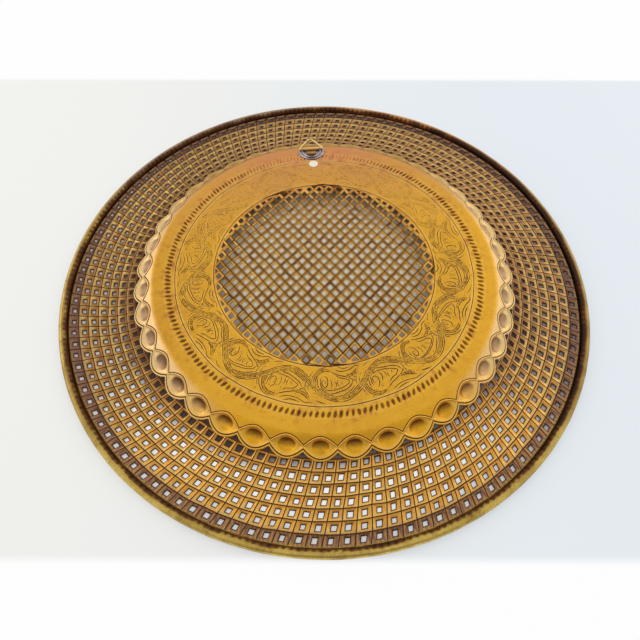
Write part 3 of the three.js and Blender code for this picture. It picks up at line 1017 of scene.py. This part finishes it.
# Hanger: the ring of wire, the folded tab, its solder and the paper dot
RING_WIRE = 2.0 * MM
RING_SIDE = 27 * MM
RING_TALL = 21.5 * MM
RING_CORNER = 2.0 * MM
RING_POINT = 4.6 * MM
RING_GAP = 0.4 * MM
RING_REST = 0.3 * MM
TAB_SHEET = 0.8 * MM
TAB_LEAN = math.radians(58)
TAB_LEAF = 7.5 * MM
POOL_HALF_IN = 6.2 * MM
POOL_END_IN = 8.6 * MM
POOL_CREST = 1.05 * MM


def wire_ring():
    """Bent wire: a triangle with round corners, its ends nearly meeting in the bar's middle."""
    droop = math.atan2(hinge.z - BASE_TOP - RING_WIRE / 2 - RING_REST, BASE_RADIUS - hinge.y)
    cuts = [reach * math.sqrt(3) for reach in (RING_CORNER, RING_POINT, RING_CORNER)]
    half = RING_SIDE / 2
    corners = [Vector((half, 0, 0)), Vector((0, RING_TALL, 0)), Vector((-half, 0, 0))]
    ends = [Vector((RING_GAP / 2, 0, 0)), Vector((-RING_GAP / 2, 0, 0))]
    stops = [ends[0]] + corners + [ends[1]]
    wire = bpy.data.curves.new("wire", "CURVE")
    wire.dimensions = "3D"
    wire.bevel_depth = RING_WIRE / 2
    wire.bevel_resolution = 5
    wire.resolution_u = 10
    wire.use_fill_caps = True
    spline = wire.splines.new("BEZIER")
    bends = [(ends[0], ends[0], (ends[0] * 2 + corners[0]) / 3)]
    for before, corner, after, cut in zip(stops, corners, stops[2:], cuts):
        entry = corner + (before - corner).normalized() * cut
        leave = corner + (after - corner).normalized() * cut
        bends.append((entry, (entry * 2 + before) / 3, (entry + corner * 2) / 3))
        bends.append((leave, (leave + corner * 2) / 3, (leave * 2 + after) / 3))
    bends.append((ends[1], (ends[1] * 2 + corners[-1]) / 3, ends[1]))
    spline.bezier_points.add(len(bends) - 1)
    for point, (middle, left, right) in zip(spline.bezier_points, bends):
        point.co, point.handle_left, point.handle_right = middle, left, right
    holder = bpy.data.objects.new("wire", wire)
    bm = bmesh.new()
    bm.from_mesh(holder.to_mesh())
    holder.to_mesh_clear()
    bpy.data.objects.remove(holder)
    tone = bm.verts.layers.float.new("tone")
    for corner in bm.verts:
        corner[tone] = 0.12
    bmesh.ops.recalc_face_normals(bm, faces=bm.faces)
    bmesh.ops.rotate(bm, verts=bm.verts, matrix=Matrix.Rotation(-droop, 3, "X"))
    bmesh.ops.translate(bm, verts=bm.verts, vec=hinge)
    material = Brass("ring_brass", RING_GOLD, RING_BROWN).age(0.3)
    return finish_piece(bm, "wire_ring", material, "hanging_ring", body="ring")


def folded_tab():
    """Strip of thin brass round the ring's bar, its upper leaf pressed on its lower one."""
    turn = hinge.z - BASE_TOP - TAB_SHEET / 2
    inner_end = tab_low.y + 0.2 * MM
    leaf_end = hinge.y - TAB_LEAF
    lower = BASE_TOP + TAB_SHEET / 2
    upper = lower + TAB_SHEET
    route = [Vector((inner_end + (hinge.y - inner_end) * i / 8, lower)) for i in range(8)]
    arc = math.pi + TAB_LEAN
    for i in range(17):
        angle = -math.pi / 2 + arc * i / 16
        route.append(Vector((hinge.y + turn * math.cos(angle), hinge.z + turn * math.sin(angle))))
    top = route[-1]
    meet = Vector((top.x - (top.y - upper) / math.tan(TAB_LEAN), upper))
    route += [top.lerp(meet, i / 3) for i in (1, 2, 3)]
    route += [meet.lerp(Vector((leaf_end, upper)), i / 4) for i in (1, 2, 3, 4)]
    half = (tab_high.x - tab_low.x) / 2
    straight = hinge.y - turn
    columns = 16
    bm, tone, corners = toned_grid(columns, len(route) - 1)
    for corner, column, step in corners:
        share = column / columns * 2 - 1
        y, z = route[step]
        inward = max(0.0, (straight - y) / (straight - inner_end + 0.4 * MM))
        width = half * math.sqrt(max(0.02, 1 - inward * inward)) - TAB_SHEET * 0.1
        past_fold = smooth_step(step, 23, 27)
        fold = smooth_step(step, 7, 9) * (1 - past_fold)
        shade_below_fold = math.exp(-((step - 25.5) / 1.6) ** 2)
        end = 1 if step in (0, len(route) - 1) or abs(share) > 0.98 else 0
        corner.co = Vector((share * width * (1 + 0.08 * fold - 0.4 * past_fold), y, z))
        # Painted shade on the steep fall below the fold and on the leaf beyond it; darker at its edges
        corner[tone] = max(0.0, 0.5 * end + 0.04 + 0.4 * past_fold + 0.45 * shade_below_fold)
    bmesh.ops.recalc_face_normals(bm, faces=bm.faces)
    material = Brass("tab_brass", TAB_GOLD, ORANGE_BROWN, dirt=0.7).age(0.36)
    piece = finish_piece(bm, "folded_tab", material, "hanger_tab",
                         thick=0.92 * TAB_SHEET, side=0)
    edge = piece.modifiers.new("edge", "BEVEL")
    edge.width = 0.12 * MM
    edge.segments = 2
    edge.angle_limit = math.radians(50)
    return piece


def solder_pool():
    """Crescent of solder that flowed round the tab's inner end, in low rings."""
    columns = 48
    rows = 12
    leaf_half, leaf_end = tab_high.x, hinge.y - tab_low.y
    half_out, end_out = solder_high.x, hinge.y - solder_low.y
    bm, tone, corners = toned_grid(columns, rows)
    for corner, column, row in corners:
        share = row / rows
        angle = math.pi + column / columns * math.pi
        wander = 1 + 0.06 * noise.noise(Vector((angle * 2.3, 0.4, 0.0)))
        half = POOL_HALF_IN + (half_out * wander - POOL_HALF_IN) * share
        end = POOL_END_IN + (end_out * wander - POOL_END_IN) * share
        swell = math.sin(math.pi * min(1.0, 0.25 + share * 0.75)) ** 0.7
        rings = 0.22 * math.cos(share * math.pi * 5)
        height = POOL_CREST * max(0.04, swell * (0.76 + rings))
        on_leaf = (half * math.cos(angle) / leaf_half) ** 2 + (end * math.sin(angle) / leaf_end) ** 2
        if on_leaf < 1.06:
            height = max(height, TAB_SHEET + 0.1 * MM + 0.2 * MM * rings)
        corner.co = Vector((half * math.cos(angle), hinge.y + end * math.sin(angle), BASE_TOP + height))
        middle = smooth_step(-math.sin(angle), 0.8, 1.0)
        # Painted shade in the troughs between the rings and along the inner edge; darker brown at the middle
        corner[tone] = 0.45 - 2.4 * rings + 0.7 * middle + (0.4 if share < 0.06 else 0)
    bmesh.ops.recalc_face_normals(bm, faces=bm.faces)
    if sum(face.normal.z for face in bm.faces) < 0:
        bmesh.ops.reverse_faces(bm, faces=bm.faces)
    finish = Finish(bpy.data.materials.new("solder"))
    tone = finish.carried("tone")
    cloud = finish.grain(3 * MM, 4.0, 0.6)
    colour = finish.mix(cloud.step(0.35, 0.7), SOLDER_BRIGHT, SOLDER_DULL)
    colour = finish.mix(tone.step(0.55, 1.0), colour, SOLDER_DARK_BROWN)
    finish.surface(Base_Color=colour, Metallic=0.85, Roughness=0.22 + cloud * 0.25,
                   Normal=finish.bump(cloud, 0.3, 0.3 * MM))
    return finish_piece(bm, "solder_pool", finish.owner, "solder_crescent", thick=0.5 * MM)


def paper_sticker():
    """Blank round paper, pressed on and slightly lifted at one side."""
    radius = (dot_high.x - dot_low.x) / 2
    centre = (dot_low + dot_high) / 2
    bm = bmesh.new()
    bmesh.ops.create_circle(bm, cap_ends=True, segments=40, radius=radius)
    tone = bm.verts.layers.float.new("tone")
    disc = bm.faces[:]
    for width in (0.12 * MM, 0.9 * MM, 1.4 * MM):
        bmesh.ops.inset_individual(bm, faces=disc, thickness=width, depth=0)
    for corner in bm.verts:
        reach = corner.co.xy.length / radius
        lift = 0.12 * MM * max(0.0, corner.co.x / radius) * reach ** 3
        corner.co = Vector((centre.x + corner.co.x, centre.y + corner.co.y, dot_high.z + lift))
        corner[tone] = smooth_step(reach, 0.9, 1.0)
    finish = Finish(bpy.data.materials.new("paper"))
    tone = finish.carried("tone")
    pulp = finish.grain(0.6 * MM, 4.0, 0.7)
    colour = finish.mix(pulp.step(0.35, 0.75), PAPER_PALE, PAPER_CREAM)
    colour = finish.mix(tone * 0.5, colour, PAPER_EDGE)
    finish.surface(Base_Color=colour, Roughness=0.75 + pulp * 0.1, Normal=finish.bump(pulp, 0.25, 0.1 * MM))
    return finish_piece(bm, "paper_sticker", finish.owner, "paper_dot", thick=0.18 * MM)


def iron_wire():
    """Finish of the wire inside the rolled edge, which the frame's own solid shows."""
    finish = Finish(bpy.data.materials.new("iron_wire"))
    rust = finish.grain(4 * MM, 5.0, 0.6)
    colour = finish.mix(rust.step(0.4, 0.7), IRON, RUST)
    finish.surface(Base_Color=colour, Metallic=0.9, Roughness=0.4 + rust * 0.3,
                   Normal=finish.bump(rust, 0.3, 0.2 * MM))
    wire = frame["nodes"]["rim_wire"]
    wire.data.materials.clear()
    wire.data.materials.append(finish.owner)


# Camera, light and floor

def camera():
    back = Vector((0, -math.cos(CAMERA_RISE), math.sin(CAMERA_RISE)))
    right = Vector((1, 0, 0))
    up = back.cross(right)
    tilt = Matrix.Rotation(CAMERA_ROLL, 3, back)
    aspect = Matrix((right, up, back)).transposed()
    turn = Matrix.Rotation(PHOTO_TURN, 3, "Z")
    data = bpy.data.cameras.new("camera")
    data.lens = CAMERA_LENS
    data.sensor_width = 36
    data.clip_start = 0.01
    eye = add_object("camera", data)
    eye.matrix_world = (turn @ tilt @ aspect).to_4x4()
    eye.location = turn @ (CAMERA_AIM + back * CAMERA_DISTANCE)
    bpy.context.scene.camera = eye


def lamp(name, place, size, power):
    """Round lamp that points at the tray's middle."""
    data = bpy.data.lights.new(name, "AREA")
    data.shape = "DISK"
    data.size = size
    data.energy = power
    holder = add_object(name, data)
    holder.location = place
    holder.rotation_euler = Vector(place).to_track_quat("Z", "Y").to_euler()


def room():
    """White room, dim where the viewer stands, and plain white where the camera looks straight at it."""
    world = bpy.data.worlds.new("room")
    bpy.context.scene.world = world
    finish = Finish(world)
    shine = finish.tree.nodes["Background"]
    direction = finish.node("ShaderNodeTexCoord", output="Generated")
    up = finish.node("ShaderNodeSeparateXYZ", inputs={0: direction}, output=2)
    towards = finish.node("ShaderNodeVectorMath", {"operation": "DOT_PRODUCT"},
                          {0: direction, 1: (0.0, -0.96, 0.28)}, "Value")
    colour = finish.mix(up.step(0.25, 0.8), ROOM_SIDES, ROOM_TOP)
    colour = finish.mix(towards.step(0.55, 0.95) * 0.6, colour, ROOM_DARK)
    looked_at = finish.node("ShaderNodeLightPath", output="Is Camera Ray")
    colour = finish.mix(looked_at, colour, WHITE)
    finish.tree.links.new(colour.socket, shine.inputs["Color"])
    shine.inputs["Strength"].default_value = 1.0
    lamp("window", (-1.0, 0.45, 0.5), 0.9, 1.4)
    lamp("side", (1.0, 0.5, 0.5), 0.9, 1.0)


def floor():
    """Pale floor that keeps the tray's shadow."""
    bm = bmesh.new()
    bmesh.ops.create_grid(bm, x_segments=1, y_segments=1, size=4)
    mesh = bpy.data.meshes.new("floor")
    bm.to_mesh(mesh)
    bm.free()
    ground = add_object("floor", mesh)
    ground.location.z = dish_low.z
    mesh.materials.append(floor_finish())


def floor_finish():
    """Paint of the floor, and the share of its own light that it shows to the camera.

    Under the tray it is darkened with painted shadow, but for the centre and the near side, which painted
    light brightens as if light came through the holes.
    """
    finish = Finish(bpy.data.materials.new("floor"))
    x, y, radius = finish.plan()
    under = 1 - radius.step(243.5 * MM, 250 * MM)
    centre_y = y - 2 * MM
    open_middle = 1 - ((x * x + centre_y * centre_y) ** 0.5).step(76 * MM, 114 * MM)
    # Near side, turned to the left, where it starts further out
    across = x * 0.35 - x.at_most(0.0) * 0.25
    start = (0 - x).step(20 * MM, 100 * MM) * 12 * MM
    near = (0 - (y + across) / radius).step(0.15, 0.85) * (radius - start).step(172 * MM, 188 * MM)
    near = near * (1 - radius.step(198 * MM, 235 * MM) * 0.25)
    left = (0 - x / radius).step(0.4, 0.95) * radius.step(180 * MM, 215 * MM)
    shade = under * (1 - near) * (1 - open_middle) * (1 - left * 0.45)
    # Painted pool of light under the flange's near rows
    bright = under * near * radius.step(184 * MM, 192 * MM) * (1 - radius.step(214 * MM, 234 * MM))
    # White backdrop before and behind the tray, between level lines of the photograph
    forward = y * math.cos(PHOTO_TURN) - x * math.sin(PHOTO_TURN)
    away = forward.step(305 * MM, 313 * MM) + (0 - forward).step(245 * MM, 254 * MM) * (1 - under)
    right = x.step(-250 * MM, 250 * MM)
    paint = finish.mix(right, FLOOR_LEFT, FLOOR_RIGHT)
    finish.surface(Base_Color=finish.mix(shade * 0.85, paint, FLOOR_SHADE), Roughness=0.7)
    # Painted light under the centre and the flange
    centre_glow = finish.mix(y.step(-90 * MM, 0.0), GLOW_CENTRE_NEAR, GLOW_CENTRE_FAR)
    under_glow = finish.mix(radius.step(112 * MM, 130 * MM), centre_glow, GLOW_FLANGE)
    open_glow = finish.mix(away + bright, finish.mix(right, GLOW_LEFT, GLOW_RIGHT), WHITE)
    glow = finish.mix(under * (1 - near), open_glow, under_glow)
    rays = ("Is Camera Ray", "Is Glossy Ray", "Is Transmission Ray")
    seen = sum(finish.node("ShaderNodeLightPath", output=name) for name in rays).at_most(1.0)
    share = seen * (0.45 - shade * 0.42 + away * 0.5 + bright * 0.3)
    shining = finish.node("ShaderNodeEmission", inputs={"Color": glow, "Strength": 1.0})
    painted = Value(finish, finish.tree.nodes["Principled BSDF"].outputs[0])
    both = finish.node("ShaderNodeMixShader", inputs={0: share, 1: painted, 2: shining})
    finish.tree.links.new(both.socket, finish.tree.nodes["Material Output"].inputs["Surface"])
    return finish.owner


camera()
room()
floor()
flange()
centre_grille()
oval_band()
engraved_base()
chased_scrolls()
rolled_edge()
wire_ring()
folded_tab()
solder_pool()
paper_sticker()
iron_wire()

scene = bpy.context.scene
scene.view_settings.view_transform = "Standard"
